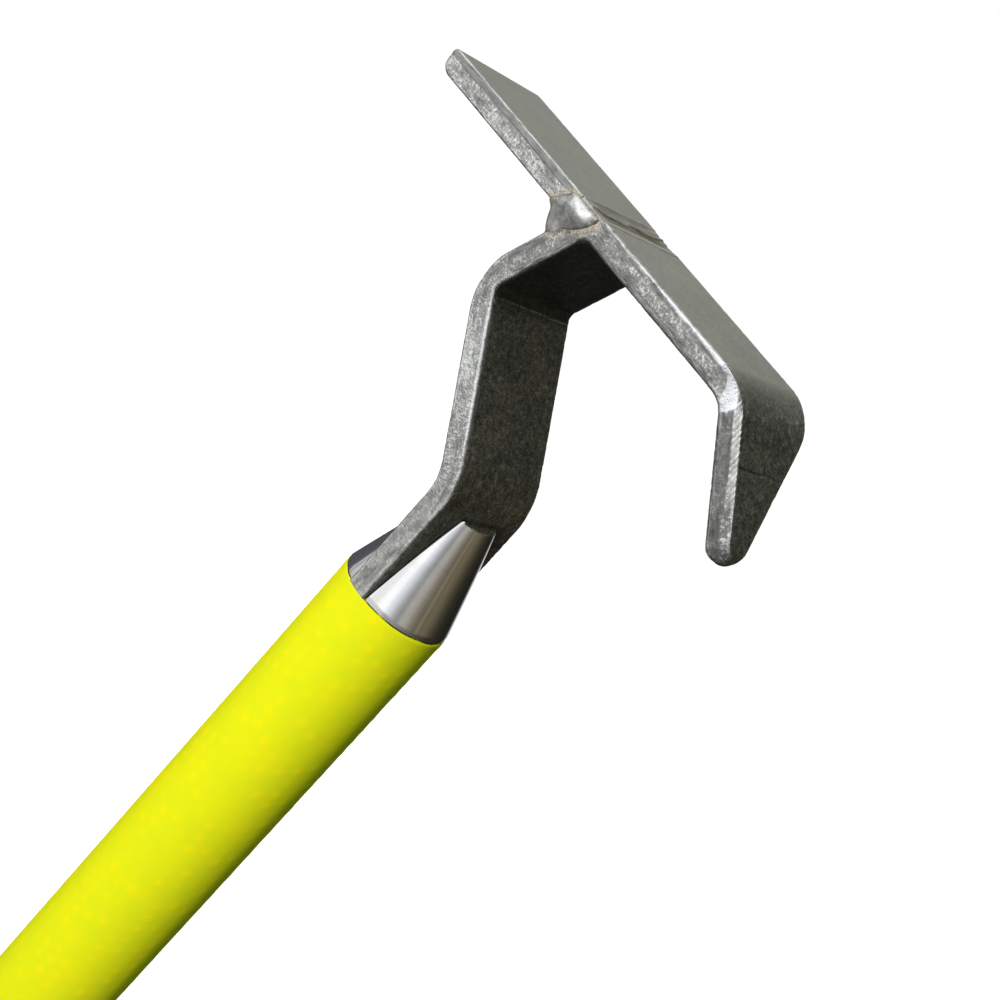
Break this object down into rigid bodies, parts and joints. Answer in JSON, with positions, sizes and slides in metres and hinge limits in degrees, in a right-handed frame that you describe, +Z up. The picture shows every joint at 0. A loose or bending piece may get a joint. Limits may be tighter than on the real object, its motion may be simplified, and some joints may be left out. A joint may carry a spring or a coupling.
{
  "type": "halligan bar",
  "caption": "Firefighter's roof and ceiling hook: bent flat steel bar with a pointed claw and a welded prying blade, set in a slotted cone on a round high-visibility pole.",
  "frame": {"origin": "centre of the butt cap's bottom face, on the pole's axis", "axes": "+Z up the pole towards the head, +X towards the claw, Y along the bar's width"},
  "size_m": [0.1832, 0.0405, 0.9144],
  "materials": {
    "bar_steel": "mill-finish hot-rolled flat bar, mottled grey with light scratches and bright worn arrises",
    "blade_steel": "mill-finish flat bar with a sheared and ground edge",
    "weld_metal": "smooth weld metal with brown heat tint at its edges",
    "polished_steel": "turned and polished",
    "sealant": "black joint",
    "adhesive": "cured epoxy",
    "pin_steel": "plain ground pin",
    "fibreglass": "pultruded glass and resin",
    "foam": "rigid cellular foam",
    "hi_vis_yellow": "satin high-visibility sleeve with fine rows of dimples",
    "nylon": "turned nylon",
    "cap_rubber": "moulded black rubber"
  },
  "bodies": {
    "root": {"hook_bar": "bar_steel", "blade_plate": "blade_steel", "blade_fillet_weld": "weld_metal", "crest_weld": "weld_metal", "weld_returns": "weld_metal", "cone_ferrule": "polished_steel", "seal_ring": "sealant", "spigot_bond": "adhesive", "head_pins": "pin_steel", "pole_tube": "fibreglass", "pole_core": "foam", "pole_sleeve": "hi_vis_yellow", "butt_plug": "nylon", "butt_pin": "pin_steel", "butt_cap": "cap_rubber"}
  },
  "joints": []
}
